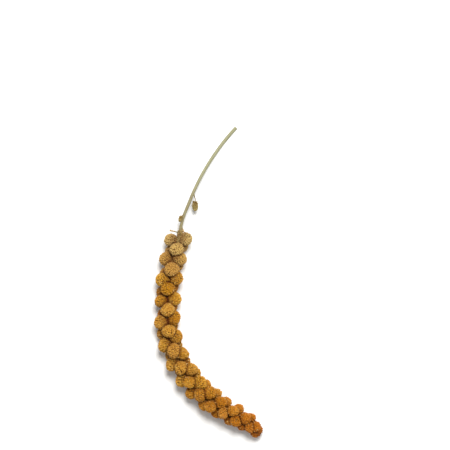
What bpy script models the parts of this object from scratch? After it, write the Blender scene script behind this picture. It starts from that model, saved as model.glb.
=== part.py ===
# Foxtail millet head, dried, cut with its stem and lying on its side.
# Metres, +Z up. It rests on the plane z = 0, with the origin under the middle of its bounding box.
# The stem's cut end is towards +Y and the tip of the head towards -Y.

import math

import bmesh
import bpy
import numpy as np
from mathutils import Matrix, Vector

# Driving dimensions
STEM_LENGTH = 0.110
HEAD_LENGTH = 0.218
HEAD_RADIUS = 0.0132
CLUSTER_WIDTH = 0.0140
STEM_RADIUS_CUT = 0.00145
STEM_RADIUS_HEAD = 0.0013
STEM_POINTS = 16
GAP = 0.0003  # between two pieces that touch
WELD = 1e-6
HEAD_HEIGHT = 0.0112  # of the line above the surface, so low that grains are pressed flat
TIP_HEIGHT_SHARE = 0.93  # of the head's radius, the same towards the tip
CUT_END = (0.0250, 0.1395)  # place of the stem's cut end in plan

# The line of stem and head, seen from above: (distance from the cut end, heading in degrees from -Y
# towards +X). The heading changes evenly between stations, so each stretch is an arc.
BENDS = (
    (0.000, -44),
    (0.020, -37),
    (0.045, -31),
    (0.075, -22),
    (0.090, -22),
    (0.105, -9),
    (0.125, -17.5),
    (0.150, -8),
    (0.180, -1),
    (0.200, 9),
    (0.225, 28),
    (0.250, 38),
    (0.270, 51),
    (0.300, 62),
    (0.326, 52),
)
LINE_STEP = 0.0005

# Shape of the head
TAPER_START = 0.66  # share of the head's length where it starts to narrow
TAPER_REACH = 0.42
SHRINK_START = 0.45  # share of the head's length where its clusters start to be smaller
TIP_WIDTH_SHARE = 0.70  # of a full cluster's width, at the tip
TOP_REACH = 0.030  # the stretch at the top of the head where its clusters grow to full size
TOP_WIDTH_SHARE = 0.80  # of a full cluster's width, at the very top
TOP_LEAN_SHARE = 0.25
CORE_RADIUS_TOP = 0.0015
CORE_GROWS_OVER = 0.014
CORE_SHARE = 0.26  # of the head's radius
CORE_RADIUS_MIN = 0.0009
CORE_POINTS = 28

# Grain clusters, set round the head by two turns to every five clusters, so in five rows along it.
# Seen from above, one row is in front, and beyond the middle the rows swing until two are.
SEED = 7
FIRST_CLUSTER = 0.0032  # from the top of the head to the middle of its first cluster
FIRST_TURN = math.radians(162)
TURN_STEP = math.radians(-144)
SWING = math.radians(-36)
SWING_STARTS = 28  # the cluster it starts at
SWING_LASTS = 18  # clusters
SPREAD = 0.249  # from one cluster to the next along the line, times the radius, in squares of its width
CLUSTER_LENGTH = 1.12  # of its width
LEAN = math.radians(24)  # of a cluster towards the tip
JITTER_TURN = math.radians(7)
JITTER_ALONG = 0.0008
JITTER_OUT = 0.0006
JITTER_SIZE = 0.08
GRAIN_COLUMNS = 10  # round a cluster; every second one is raised
GRAIN_RINGS = (0, 30, 60, 90, 119, 152, 180)  # degrees from a cluster's top, the last two on its root
GRAIN_RELIEF = 0.08  # of a cluster's width, from a grain's top down to the gap beside it
END_CLUSTER_WIDTH = 0.0095
ROOT_DEPTH = 0.66  # of a cluster's width, from its middle to the end of its root
NECK_RADIUS = 0.13  # of a cluster's width

# Thin branches on the stem: (where each leaves it, where it ends along the line, how far to the right
# of the line it ends, how far above it, and how much it bows upwards)
BRANCH_RADIUS_STEM = 0.00054
BRANCH_RADIUS_END = 0.00036
BRANCH_POINTS = 5
BRANCHES = {
    "stalk": (0.0710, 0.0755, 0.0040, -0.0012, 0.0003),
    "bare_twig": (0.1090, 0.1086, -0.0092, 0.0028, 0.0008),
    "top_branch": (0.1030, 0.1072, 0.0030, 0.0010, 0.0002),
}

# Small clusters on the stem: (width, length)
STALKED_CLUSTER = (0.0050, 0.0104)
SEATED_CLUSTER = (0.0030, 0.0070)
SEATED_ROOT = (0.0927, -0.0019, 0.0026)  # along the line, right of it and up


def clear_scene():
    for obj in list(bpy.data.objects):
        bpy.data.objects.remove(obj, do_unlink=True)


def new_collection(name):
    collection = bpy.data.collections.new(name)
    bpy.context.scene.collection.children.link(collection)
    return collection


def material(name, colour, roughness):
    made = bpy.data.materials.new(name)
    made.use_nodes = True
    shader = made.node_tree.nodes["Principled BSDF"]
    shader.inputs["Base Color"].default_value = (*colour, 1)
    shader.inputs["Roughness"].default_value = roughness
    shader.inputs["Metallic"].default_value = 0
    return made


def head_share(distance):
    """Share of the head's length at a distance from the stem's cut end."""
    return np.clip((distance - STEM_LENGTH) / HEAD_LENGTH, 0, 1)


def outline_radius(distance):
    """From the line to the outside of the clusters: even, then an elliptic tip."""
    beyond = np.clip((head_share(distance) - TAPER_START) / TAPER_REACH, 0, 1)
    return HEAD_RADIUS * np.sqrt(1 - beyond**2)


def top_growth(distance, share):
    """From that share at the very top of the head to 1 at the end of its top stretch."""
    return share + (1 - share) * np.clip((distance - STEM_LENGTH) / TOP_REACH, 0, 1)


def full_width(distance):
    """Even, then shrinking to the tip."""
    beyond = np.clip((head_share(distance) - SHRINK_START) / (1 - SHRINK_START), 0, 1)
    return CLUSTER_WIDTH * (1 - (1 - TIP_WIDTH_SHARE) * beyond)


def cluster_width(distance):
    return full_width(distance) * top_growth(distance, TOP_WIDTH_SHARE)


def core_radius(distance):
    full = outline_radius(distance) * CORE_SHARE
    grown = np.clip((distance - STEM_LENGTH) / CORE_GROWS_OVER, 0, 1)
    return np.maximum(CORE_RADIUS_TOP + (full - CORE_RADIUS_TOP) * grown, CORE_RADIUS_MIN)


def line_height(distance):
    """The head lies on its lowest grains, and the stem slopes down to its cut end."""
    share = np.clip(distance / STEM_LENGTH, 0, 1)
    smooth = share * share * (3 - 2 * share)
    at_head = np.minimum(HEAD_HEIGHT, outline_radius(distance) * TIP_HEIGHT_SHARE)
    return STEM_RADIUS_CUT + (at_head - STEM_RADIUS_CUT) * smooth


def line_points():
    """Distances along the line and the points there."""
    distance = np.arange(0, STEM_LENGTH + HEAD_LENGTH + LINE_STEP / 2, LINE_STEP)
    at, heading = np.array(BENDS).T
    heading = np.radians(np.interp(distance, at, heading))
    middle = (heading[1:] + heading[:-1]) / 2
    x = CUT_END[0] + np.concatenate([[0], np.cumsum(np.sin(middle) * LINE_STEP)])
    y = CUT_END[1] - np.concatenate([[0], np.cumsum(np.cos(middle) * LINE_STEP)])
    return distance, np.stack([x, y, line_height(distance)], axis=1)


DISTANCES, POINTS = line_points()


def point_at(distance):
    return Vector([float(np.interp(distance, DISTANCES, POINTS[:, k])) for k in range(3)])


def directions_at(distance):
    """(along the line, level to its side, square to both) at a distance."""
    along = (point_at(distance + LINE_STEP) - point_at(distance - LINE_STEP)).normalized()
    side = along.cross(Vector((0, 0, 1))).normalized()
    return along, side, side.cross(along)


def cluster_table():
    """Where each cluster stands: (distance, turn about the line, width, push outwards, roll)."""
    distance = DISTANCES[DISTANCES >= STEM_LENGTH + FIRST_CLUSTER]
    between = SPREAD * full_width(distance) ** 2 / outline_radius(distance)
    count = np.cumsum(LINE_STEP / between)
    number = int(count[-1])
    random = np.random.default_rng(SEED)
    draw = random.uniform(-1, 1, (number, 5))
    start = np.interp(np.arange(number), count, distance)
    rows = []
    for i in range(number):
        at = start[i] + JITTER_ALONG * draw[i, 0]
        swung = SWING * np.clip((i - SWING_STARTS) / SWING_LASTS, 0, 1)
        turn = FIRST_TURN + i * TURN_STEP + swung + JITTER_TURN * draw[i, 1]
        size = cluster_width(at) * (1 + JITTER_SIZE * draw[i, 2])
        rows.append((at, turn, size, JITTER_OUT * draw[i, 3], math.pi * draw[i, 4]))
    return rows


def cluster_mesh():
    """One cluster, 1 across: a ball of grains about +Z, raised by turns, on a root towards -Z."""
    made = bmesh.new()
    bmesh.ops.create_uvsphere(
        made, u_segments=GRAIN_COLUMNS, v_segments=len(GRAIN_RINGS) - 1, radius=0.5
    )
    last = len(GRAIN_RINGS) - 1
    for vertex in made.verts:
        ring = round(vertex.co.angle(Vector((0, 0, 1))) / math.pi * last)
        around = math.atan2(vertex.co.y, vertex.co.x)
        column = round(around / (2 * math.pi) * GRAIN_COLUMNS)
        polar = math.radians(GRAIN_RINGS[ring])
        radius = 0.5 - GRAIN_RELIEF * ((ring + column) % 2)
        out, up = radius * math.sin(polar), radius * math.cos(polar) * CLUSTER_LENGTH
        if ring == last - 1:
            out = NECK_RADIUS
        if ring in (0, last):
            out, up = 0, CLUSTER_LENGTH / 2 if ring == 0 else -ROOT_DEPTH
        vertex.co = Vector((out * math.cos(around), out * math.sin(around), up))
    bmesh.ops.triangulate(made, faces=made.faces[:], quad_method="SHORT_EDGE")
    mesh = bpy.data.meshes.new("grain_cluster")
    made.to_mesh(mesh)
    made.free()
    return mesh


def stand(mesh, name, foot, outward, size, roll, collection):
    """A cluster of that size with its middle at foot, pointing outward."""
    obj = bpy.data.objects.new(name, mesh)
    turn = outward.to_track_quat("Z", "Y").to_matrix().to_4x4()
    obj.matrix_world = (
        Matrix.Translation(foot) @ turn @ Matrix.Rotation(roll, 4, "Z") @ Matrix.Scale(size, 4)
    )
    collection.objects.link(obj)
    return obj


def tube(name, points, radii, bevel_resolution, collection):
    """A round tube through the points, as a closed mesh object, with 4 + 2 * bevel_resolution sides."""
    curve = bpy.data.curves.new(name, "CURVE")
    curve.dimensions = "3D"
    curve.bevel_depth = 1
    curve.bevel_resolution = bevel_resolution
    curve.use_fill_caps = True
    spline = curve.splines.new("POLY")
    spline.points.add(len(points) - 1)
    for spot, point, radius in zip(spline.points, points, radii):
        spot.co = (*point, 1)
        spot.radius = radius
    drawn = bpy.data.objects.new(name, curve)
    collection.objects.link(drawn)
    bpy.context.view_layer.update()
    graph = bpy.context.evaluated_depsgraph_get()
    mesh = bpy.data.meshes.new_from_object(drawn.evaluated_get(graph))
    welded = bmesh.new()
    welded.from_mesh(mesh)
    bmesh.ops.remove_doubles(welded, verts=welded.verts[:], dist=WELD)
    welded.to_mesh(mesh)
    welded.free()
    bpy.data.objects.remove(drawn)
    bpy.data.curves.remove(curve)
    obj = bpy.data.objects.new(name, mesh)
    collection.objects.link(obj)
    return obj


def fuse(target, others):
    """Joins the collection's objects into the target, then removes them."""
    union = target.modifiers.new("fuse", "BOOLEAN")
    union.operation = "UNION"
    union.operand_type = "COLLECTION"
    union.collection = others
    union.solver = "EXACT"
    apply_modifiers(target)
    for obj in list(others.objects):
        bpy.data.objects.remove(obj)
    bpy.data.collections.remove(others)


def apply_modifiers(obj):
    bpy.context.view_layer.update()
    graph = bpy.context.evaluated_depsgraph_get()
    mesh = bpy.data.meshes.new_from_object(obj.evaluated_get(graph))
    obj.modifiers.clear()
    obj.data = mesh


def fill_cavities(obj):
    """Removes every closed surface but the largest: the rest are hollows sealed in among the roots."""
    made = bmesh.new()
    made.from_mesh(obj.data)
    left = set(made.verts)
    islands = []
    while left:
        island = set()
        rim = {left.pop()}
        while rim:
            island |= rim
            rim = {edge.other_vert(v) for v in rim for edge in v.link_edges} - island
        left -= island
        islands.append(island)
    islands.sort(key=len)
    for island in islands[:-1]:
        bmesh.ops.delete(made, geom=list(island), context="VERTS")
    made.to_mesh(obj.data)
    made.free()


def flatten_foot(obj, cutters):
    """Cuts off what lies below the surface, so that the lowest grains rest on small flats."""
    bpy.ops.mesh.primitive_cube_add(size=1, location=(0, 0, -0.5))
    block = bpy.context.active_object
    block.name = "surface_cutter"
    block.hide_render = True
    block.display_type = "WIRE"
    for collection in list(block.users_collection):
        collection.objects.unlink(block)
    cutters.objects.link(block)
    cut = obj.modifiers.new("foot", "BOOLEAN")
    cut.operation = "DIFFERENCE"
    cut.object = block
    cut.solver = "EXACT"
    apply_modifiers(obj)
    bpy.data.objects.remove(block)


def make_grain_head(part, cutters, colour):
    core_end = STEM_LENGTH + HEAD_LENGTH - END_CLUSTER_WIDTH / 2
    stations = np.linspace(STEM_LENGTH + GAP, core_end, CORE_POINTS)
    points = [point_at(s) for s in stations]
    core = tube("grain_head", points, core_radius(stations), 2, part)
    mesh = cluster_mesh()
    others = new_collection("clusters")
    for i, (at, turn, size, push, roll) in enumerate(cluster_table()):
        along, side, up = directions_at(at)
        radial = side * math.cos(turn) + up * math.sin(turn)
        narrowing = float(outline_radius(at - LINE_STEP) - outline_radius(at + LINE_STEP))
        lean = LEAN * top_growth(at, TOP_LEAN_SHARE) + math.atan2(narrowing, 2 * LINE_STEP)
        outward = radial * math.cos(lean) + along * math.sin(lean)
        reach = float(outline_radius(at)) - size * CLUSTER_LENGTH / 2 + push
        foot = point_at(at) + radial * reach
        stand(mesh, f"cluster_{i}", foot, outward, size, roll, others)
    end = STEM_LENGTH + HEAD_LENGTH
    along = directions_at(end - LINE_STEP)[0]
    foot = point_at(end) - along * END_CLUSTER_WIDTH / 2
    stand(mesh, "end_cluster", foot, along, END_CLUSTER_WIDTH, 0, others)
    fuse(core, others)
    fill_cavities(core)
    flatten_foot(core, cutters)
    core.data.materials.clear()
    core.data.materials.append(colour)
    return core


def off_line(distance, to_right, up=0.0):
    """The point that far from the line at a distance, to the right as seen from above."""
    return point_at(distance) - directions_at(distance)[1] * to_right + Vector((0, 0, up))


def branch_tube(name, start, end, bow, collection):
    """A thin branch from start to end, bowed upwards at its middle."""
    shares = np.linspace(0, 1, BRANCH_POINTS)
    points = [start.lerp(end, s) + Vector((0, 0, 4 * bow * s * (1 - s))) for s in shares]
    radii = np.linspace(BRANCH_RADIUS_STEM, BRANCH_RADIUS_END, BRANCH_POINTS)
    return tube(name, points, radii, 1, collection)


def make_stem(part, colour):
    stations = np.linspace(0, STEM_LENGTH, STEM_POINTS)
    radii = np.linspace(STEM_RADIUS_CUT, STEM_RADIUS_HEAD, len(stations))
    stem = tube("stem", [point_at(s) for s in stations], radii, 3, part)
    others = new_collection("branches")
    for name, (leaves, ends, right, up, bow) in BRANCHES.items():
        branch_tube(name, point_at(leaves), off_line(ends, right, up), bow, others)
    fuse(stem, others)
    stem.data.materials.clear()
    stem.data.materials.append(colour)
    return stem


def make_small_cluster(name, part, colour, size, root, outward):
    """A small cluster on the stem: a ball of grains on its root, lengthened to its size."""
    width, length = size
    obj = bpy.data.objects.new(name, cluster_mesh())
    turn = outward.to_track_quat("Z", "Y").to_matrix().to_4x4()
    stretch = length / (width * (CLUSTER_LENGTH / 2 + ROOT_DEPTH))
    obj.matrix_world = (
        Matrix.Translation(root)
        @ turn
        @ Matrix.Diagonal((width, width, width * stretch, 1))
        @ Matrix.Translation((0, 0, ROOT_DEPTH))
    )
    part.objects.link(obj)
    obj.data.materials.append(colour)
    return obj


def main():
    clear_scene()
    part = new_collection("foxtail_millet_head")
    cutters = new_collection("cutters")
    straw = material("straw", (0.42, 0.32, 0.15), 0.6)
    grain = material("millet_grain", (0.42, 0.21, 0.05), 0.55)
    make_stem(part, straw)
    make_grain_head(part, cutters, grain)
    leaves, ends, right, up, _ = BRANCHES["stalk"]
    tip = off_line(ends, right, up)
    outward = ((tip - point_at(leaves)).normalized() + directions_at(ends)[0]).normalized()
    root = tip + outward * GAP
    make_small_cluster("stalked_cluster", part, grain, STALKED_CLUSTER, root, outward)
    root = off_line(*SEATED_ROOT)
    along = directions_at(SEATED_ROOT[0])[0]
    make_small_cluster("seated_cluster", part, grain, SEATED_CLUSTER, root, along)


main()
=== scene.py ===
import math

import bpy
import numpy as np
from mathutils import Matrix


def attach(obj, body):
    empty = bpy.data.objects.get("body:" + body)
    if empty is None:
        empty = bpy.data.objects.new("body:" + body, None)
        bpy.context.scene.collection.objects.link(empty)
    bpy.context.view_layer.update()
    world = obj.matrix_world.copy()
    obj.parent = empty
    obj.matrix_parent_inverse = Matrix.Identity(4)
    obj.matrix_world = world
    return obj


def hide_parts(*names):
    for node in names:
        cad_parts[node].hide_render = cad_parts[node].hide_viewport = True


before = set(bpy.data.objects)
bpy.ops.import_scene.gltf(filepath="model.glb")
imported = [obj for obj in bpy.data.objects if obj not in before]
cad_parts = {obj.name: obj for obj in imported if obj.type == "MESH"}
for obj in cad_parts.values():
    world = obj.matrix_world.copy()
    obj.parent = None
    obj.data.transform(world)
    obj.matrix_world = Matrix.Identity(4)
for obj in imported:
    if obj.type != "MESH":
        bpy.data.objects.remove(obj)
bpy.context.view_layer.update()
print("frame loaded:", sorted(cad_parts))

# The dried head of foxtail millet lies on its side, seen from straight above.
# The line below runs from the stem's cut end to the tip; all sizes are in metres.
headLine = {
    "stemLength": 0.110,
    "headLength": 0.218,
    "headRadius": 0.0132,
    "stemRadiusCut": 0.00145,
    "stemRadiusHead": 0.0013,
    "headHeight": 0.0112,  # of the line above the surface
    "tipHeightShare": 0.93,  # it is at most this share of the outline's radius
    "cutEnd": (0.0250, 0.1395),  # x and y
    "taperStart": 0.66,  # share of the head's length where it starts to taper
    "taperReach": 0.42,  # and over which it would close
    "step": 0.0005,  # from point to point of the line
    # distance from the cut end, heading in degrees from -Y towards +X
    "bends": [
        (0.000, -44), (0.020, -37), (0.045, -31), (0.075, -22), (0.090, -22), (0.105, -9),
        (0.125, -17.5), (0.150, -8), (0.180, -1), (0.200, 9), (0.225, 28), (0.250, 38),
        (0.270, 51), (0.300, 62), (0.326, 52),
    ],
}

# How the clusters stand round the line, by the same rule and the same draw as the solid part
clusterRule = {
    "seed": 7,
    "width": 0.0140,
    "shrinkStart": 0.45,  # share of the head's length where the clusters start to be smaller
    "tipWidthShare": 0.70,
    "topReach": 0.030,  # the stretch at the top where they grow to full size and full lean
    "topWidthShare": 0.80,
    "topLeanShare": 0.25,
    "first": 0.0032,  # from the stem's end to the first one
    "firstTurn": 162,  # degrees round the line
    "turnStep": -144,
    "swing": -36,  # how far the rows turn towards the tip, in degrees
    "swingStarts": 28,  # at this cluster
    "swingLasts": 18,  # over so many
    "spread": 0.249,  # from one to the next, in squares of their width over the outline's radius
    "lengthShare": 1.12,  # of a cluster's width
    "lean": 24,  # degrees towards the tip
    "jitterTurn": 7,  # degrees
    "jitterAlong": 0.0008,
    "jitterOut": 0.0006,
    "jitterSize": 0.08,
    "endWidth": 0.0095,  # of the one that closes the tip
}


# share of the head's length at each distance, 0 on the stem and 1 at the tip
def headShare(distance):
    return np.clip((distance - headLine["stemLength"]) / headLine["headLength"], 0, 1)


# even radius, then a quarter of an ellipse to the tip
def outlineRadius(distance):
    beyond = np.clip((headShare(distance) - headLine["taperStart"]) / headLine["taperReach"], 0, 1)
    return headLine["headRadius"] * np.sqrt(1 - beyond**2)


# from a share at the very top of the head to 1 where its top stretch ends
def topGrowth(distance, share):
    grown = np.clip((distance - headLine["stemLength"]) / clusterRule["topReach"], 0, 1)
    return share + (1 - share) * grown


# even, then shrinking to the tip
def fullWidth(distance):
    start = clusterRule["shrinkStart"]
    beyond = np.clip((headShare(distance) - start) / (1 - start), 0, 1)
    return clusterRule["width"] * (1 - (1 - clusterRule["tipWidthShare"]) * beyond)


# the full width times its growth at the top
def clusterWidth(distance):
    return fullWidth(distance) * topGrowth(distance, clusterRule["topWidthShare"])


# the line rises in an S from the stem's cut end, then keeps its height, and sinks with the radius
# towards the tip
def lineHeight(distance):
    share = np.clip(distance / headLine["stemLength"], 0, 1)
    smooth = share * share * (3 - 2 * share)
    atHead = np.minimum(headLine["headHeight"], outlineRadius(distance) * headLine["tipHeightShare"])
    return headLine["stemRadiusCut"] + (atHead - headLine["stemRadiusCut"]) * smooth


# the heading changes evenly between bends, and its steps are added up from the cut end
def lineTable():
    length = headLine["stemLength"] + headLine["headLength"]
    distance = np.arange(0, length + headLine["step"] / 2, headLine["step"])
    at, heading = np.array(headLine["bends"]).T
    heading = np.radians(np.interp(distance, at, heading))
    middle = (heading[1:] + heading[:-1]) / 2
    x = headLine["cutEnd"][0] + np.concatenate([[0], np.cumsum(np.sin(middle) * headLine["step"])])
    y = headLine["cutEnd"][1] - np.concatenate([[0], np.cumsum(np.cos(middle) * headLine["step"])])
    return distance, np.stack([x, y, lineHeight(distance)], axis=1)


lineAt, linePoints = lineTable()


# vectors over their own lengths
def unit(vectors):
    return vectors / np.maximum(np.linalg.norm(vectors, axis=-1, keepdims=True), 1e-12)


# points of the line, read between those of its table
def pointsAt(distance):
    distance = np.atleast_1d(distance)
    return np.stack([np.interp(distance, lineAt, linePoints[:, k]) for k in range(3)], axis=-1)


# along the line, level to the left of it in the picture, and square to both
def directionsAt(distance):
    distance = np.atleast_1d(distance)
    along = unit(pointsAt(distance + headLine["step"]) - pointsAt(distance - headLine["step"]))
    side = unit(np.cross(along, [0.0, 0.0, 1.0]))
    return along, side, np.cross(side, along)


# one row per cluster: where it is along the line, its width, middle and outward direction, how long
# it is for its width, and how much longer again towards its root
def placeClusters():
    rule = clusterRule
    distance = lineAt[lineAt >= headLine["stemLength"] + rule["first"]]
    between = rule["spread"] * fullWidth(distance) ** 2 / outlineRadius(distance)
    count = np.cumsum(headLine["step"] / between)
    number = int(count[-1])
    order = np.arange(number)
    draw = np.random.default_rng(rule["seed"]).uniform(-1, 1, (number, 5))
    at = np.interp(order, count, distance) + rule["jitterAlong"] * draw[:, 0]
    # by fifths of two turns, so in five rows, and past the middle the rows swing a little round
    swung = rule["swing"] * np.clip((order - rule["swingStarts"]) / rule["swingLasts"], 0, 1)
    turn = rule["firstTurn"] + order * rule["turnStep"] + swung + rule["jitterTurn"] * draw[:, 1]
    turn = np.radians(turn)
    size = clusterWidth(at) * (1 + rule["jitterSize"] * draw[:, 2])
    along, side, up = directionsAt(at)
    radial = side * np.cos(turn)[:, None] + up * np.sin(turn)[:, None]
    step = headLine["step"]
    narrowing = outlineRadius(at - step) - outlineRadius(at + step)
    lean = math.radians(rule["lean"]) * topGrowth(at, rule["topLeanShare"])
    lean = lean + np.arctan2(narrowing, 2 * step)
    outward = radial * np.cos(lean)[:, None] + along * np.sin(lean)[:, None]
    reach = outlineRadius(at) - size * rule["lengthShare"] / 2 + rule["jitterOut"] * draw[:, 3]
    middle = pointsAt(at) + radial * reach[:, None]
    # the last one closes the tip
    end = headLine["stemLength"] + headLine["headLength"]
    endAlong = directionsAt(end - step)[0]
    endMiddle = pointsAt(end) - endAlong * rule["endWidth"] / 2
    return {
        "at": np.append(at, end),
        "width": np.append(size, rule["endWidth"]),
        "middle": np.concatenate([middle, endMiddle]),
        "outward": unit(np.concatenate([outward, endAlong])),
        "stretch": np.full(number + 1, rule["lengthShare"]),
        "tail": np.ones(number + 1),
    }


clusters = placeClusters()
print("clusters placed:", len(clusters["at"]))


# sRGB hex to the linear values that Blender works in
def linear(hexColour):
    channels = [int(hexColour[i : i + 2], 16) / 255 for i in (1, 3, 5)]
    return tuple(c / 12.92 if c <= 0.04045 else ((c + 0.055) / 1.055) ** 2.4 for c in channels) + (1.0,)


# adds one node and gives one of its outputs: settings go by name and inputs by name or place, each
# a number, a hex colour or the socket that feeds it; a ramp has its stops as (place, hex) pairs
def addNode(tree, kind, output, inputs=(), stops=(), **settings):
    node = tree.nodes.new("ShaderNode" + kind)
    for name, value in settings.items():
        setattr(node, name, value)
    for key, value in inputs.items() if isinstance(inputs, dict) else enumerate(inputs):
        if isinstance(value, bpy.types.NodeSocket):
            tree.links.new(value, node.inputs[key])
        else:
            node.inputs[key].default_value = linear(value) if isinstance(value, str) else value
    for i, (place, hexColour) in enumerate(stops):
        elements = node.color_ramp.elements
        atEnd = i in (0, len(stops) - 1)
        element = elements[-1 if i else 0] if atEnd else elements.new(place)
        element.position, element.color = place, linear(hexColour)
    return None if output is None else node.outputs[output]


# an empty material and its nodes
def newMaterial(name):
    material = bpy.data.materials.new(name)
    material.use_nodes = True
    material.node_tree.nodes.clear()
    return material, material.node_tree


# closes a material with its principled shader
def finishMaterial(tree, inputs):
    shader = addNode(tree, "BsdfPrincipled", "BSDF", inputs)
    addNode(tree, "OutputMaterial", None, {"Surface": shader})


# In the materials below, a fade is four numbers: as what it reads goes from the first to the
# second, what it gives goes evenly from the third to the fourth, and it is held at both ends.

# The husk of foxtail millet: hard, dry, finely wrinkled across the grain, a little glossy.
# It gives the eye golden brown beads with soft glints, lighter or darker by grain and by cluster.
huskLook = {
    "toneColours": [(0.0, "#8E5608"), (0.5, "#B87F18"), (1.0, "#E4BA50")],  # from grain to grain
    "ripenessColours": [(0.0, "#AA5C12"), (0.5, "#B68018"), (1.0, "#C29250")],  # and by cluster
    "ripenessShare": 0.4,
    # each with its fade along the head, which is 0 at its top and 1 at its tip
    "topOfHead": ("#BAA872", (0.0, 0.2, 0.7, 0.0)),
    "aboveHead": ("#8A7A46", (-0.2, 0.0, 0.7, 0.0)),
    "tipOfHead": ("#B46200", (0.6, 1.0, 0.0, 0.85)),
    # painted shade: the colour that grain is darkened towards by its depth value, in crevices, on cluster
    # rims and roots and near the axis
    "crevice": "#5A2802",
    "roughness": 0.5,
    "specular": 0.18,
    "mottleMillimetres": 0.9,
    "mottle": (0.35, 0.65, 0.82, 1.12),  # fade of its brightness
    "footShade": (0.3, 0.95, 0.84, 1.06),  # painted shade: fade of a grain's brightness from its foot to its end
    "grainMillimetres": 2.4,  # a grain's length, as in grainLook below
    "wrinkleMillimetres": 0.1822,  # from one to the next, coarser than real ones so as to show
    "wrinkleDistortion": 3.0,
    "wrinkleDepthMillimetres": 0.009,
    "wrinkleStrength": 0.6,
}


# a grain's tone, its cluster's ripeness with painted light on its upper side, its place along the head and
# its depth as painted shade, each laid over what comes before, and all of it times the mottle and the
# painted shade at its foot
def makeHusk(name, look):
    material, tree = newMaterial(name)
    names = ("tone", "ripeness", "along", "depth")
    tone, ripeness, along, depth = [addNode(tree, "Attribute", "Fac", attribute_name=n) for n in names]
    coords = addNode(tree, "TexCoord", "Object")
    uv = addNode(tree, "UVMap", "UV", uv_map="grain")
    colour = addNode(tree, "ValToRGB", "Color", {"Fac": tone}, look["toneColours"])
    # clusters ripen unevenly: some are more orange, some more tan
    over = addNode(tree, "ValToRGB", "Color", {"Fac": ripeness}, look["ripenessColours"])
    layers = [(look["ripenessShare"], over)]
    # the head is greyer where it starts, most so on the stem above it, and redder towards the tip
    for hexColour, fade in (look["topOfHead"], look["aboveHead"], look["tipOfHead"]):
        layers.append((addNode(tree, "MapRange", "Result", (along, *fade)), hexColour))
    # painted shade: grain low between its neighbours, on a cluster's rim and root, and near the axis is
    # darkened towards the crevice colour by its depth value
    layers.append((depth, look["crevice"]))
    for share, over in layers:
        colour = addNode(tree, "Mix", 2, {0: share, 6: colour, 7: over}, data_type="RGBA")
    inputs = {"Vector": coords, "Scale": 1000 / look["mottleMillimetres"], "Detail": 2.0}
    mottle = addNode(tree, "TexNoise", "Fac", inputs)
    mottle = addNode(tree, "MapRange", "Result", (mottle, *look["mottle"]))
    # painted shade: each grain darker at its foot, where it sits down among the others, and lighter at its
    # outer end
    height = addNode(tree, "SeparateXYZ", "Y", {"Vector": uv})
    lighter = addNode(tree, "MapRange", "Result", (height, *look["footShade"]))
    shade = addNode(tree, "Math", 0, (mottle, lighter), operation="MULTIPLY")
    grey = addNode(tree, "CombineColor", 0, (shade, shade, shade))
    inputs = {0: 1.0, 6: colour, 7: grey}
    colour = addNode(tree, "Mix", 2, inputs, data_type="RGBA", blend_type="MULTIPLY")
    # the map's height is 1 for a whole grain, in which a wave of scale 1 goes through 20 radians
    wrinkles = look["grainMillimetres"] / look["wrinkleMillimetres"]
    inputs = {"Vector": uv, "Scale": wrinkles * 2 * math.pi / 20, "Detail": 2.0}
    inputs["Distortion"] = look["wrinkleDistortion"]
    wrinkle = addNode(tree, "TexWave", "Fac", inputs, bands_direction="Y")
    inputs = {"Height": wrinkle, "Distance": look["wrinkleDepthMillimetres"] / 1000}
    bump = addNode(tree, "Bump", "Normal", {**inputs, "Strength": look["wrinkleStrength"]})
    inputs = {"Base Color": colour, "Roughness": look["roughness"], "Normal": bump}
    finishMaterial(tree, {**inputs, "Specular IOR Level": look["specular"]})
    return material


# Dry straw, the skin of the stem: fine ribs along it with a waxy, faintly shiny surface.
# It gives the eye a pale greenish tan line with lighter ribs and brown flecks, browner near the head.
strawLook = {
    "fibreColours": [(0.3, "#706A48"), (0.5, "#8B8964"), (0.72, "#AFAD88")],  # from groove to rib
    "nearHead": "#745A2C",
    "fleck": "#6B5230",
    "roughness": 0.45,
    "ior": 1.5,
    "ribMillimetres": 0.22,
    "ribLength": 40,  # in widths of a rib
    "ribDepthMillimetres": 0.05,
    "ribStrength": 0.7,
    "fleckMillimetres": 1.2,
    "flecks": (0.6, 0.72, 0.0, 0.7),  # fade of the fleck's colour
}


# noise stretched along the stem gives ribs their colour and relief, with flecks over it, and over
# all of it the brown that the mesh asks for
def makeStraw(name, look):
    material, tree = newMaterial(name)
    # the run map holds millimetres round and along the stem
    uv = addNode(tree, "UVMap", "UV", uv_map="run")
    ribScale = 1 / look["ribMillimetres"]
    inputs = {"Vector": uv, "Scale": (ribScale, ribScale / look["ribLength"], 1.0)}
    stretched = addNode(tree, "Mapping", "Vector", inputs)
    fibre = addNode(tree, "TexNoise", "Fac", {"Vector": stretched, "Scale": 1.0, "Detail": 3.0})
    colour = addNode(tree, "ValToRGB", "Color", {"Fac": fibre}, look["fibreColours"])
    inputs = {"Vector": addNode(tree, "TexCoord", "Object"), "Scale": 1000 / look["fleckMillimetres"]}
    fleck = addNode(tree, "TexNoise", "Fac", {**inputs, "Detail": 4.0})
    fleck = addNode(tree, "MapRange", "Result", (fleck, *look["flecks"]))
    brown = addNode(tree, "Attribute", "Fac", attribute_name="brown")
    for share, over in ((fleck, look["fleck"]), (brown, look["nearHead"])):
        colour = addNode(tree, "Mix", 2, {0: share, 6: colour, 7: over}, data_type="RGBA")
    inputs = {"Height": fibre, "Distance": look["ribDepthMillimetres"] / 1000}
    bump = addNode(tree, "Bump", "Normal", {**inputs, "Strength": look["ribStrength"]})
    inputs = {"Base Color": colour, "Roughness": look["roughness"], "IOR": look["ior"]}
    finishMaterial(tree, {**inputs, "Normal": bump})
    return material


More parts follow.
